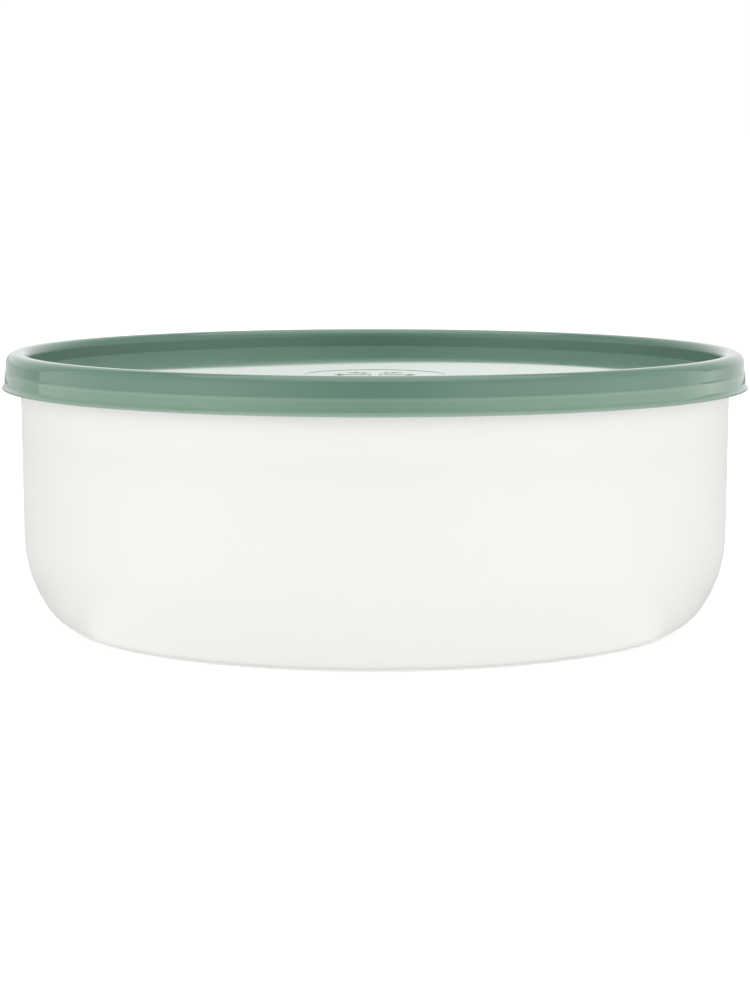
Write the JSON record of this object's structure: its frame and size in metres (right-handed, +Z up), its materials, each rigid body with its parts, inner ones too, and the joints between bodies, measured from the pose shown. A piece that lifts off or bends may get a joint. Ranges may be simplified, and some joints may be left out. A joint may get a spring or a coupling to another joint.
{
  "type": "snap lid food container",
  "caption": "Round shallow food storage tub in translucent plastic with a flexible press-on lid that has a recessed panel and a stepped skirt.",
  "frame": {"origin": "centre of the circle on which the tub's foot ring stands", "axes": "+Z up along the axis of revolution; X and Y are any two directions across it, with -Y towards the viewer"},
  "size_m": [0.17, 0.17, 0.0623],
  "materials": {
    "translucent_polypropylene": "milky translucent satin",
    "green_polyethylene": "smooth semi-gloss, slightly translucent"
  },
  "bodies": {
    "tub": {"tub": "translucent_polypropylene"},
    "lid": {"lid": "green_polyethylene"}
  },
  "joints": [
    {"name": "lid_lift", "type": "slide", "parent": "tub", "child": "lid", "axis": [0, 0, 1], "range_m": [0, 0.09]}
  ]
}
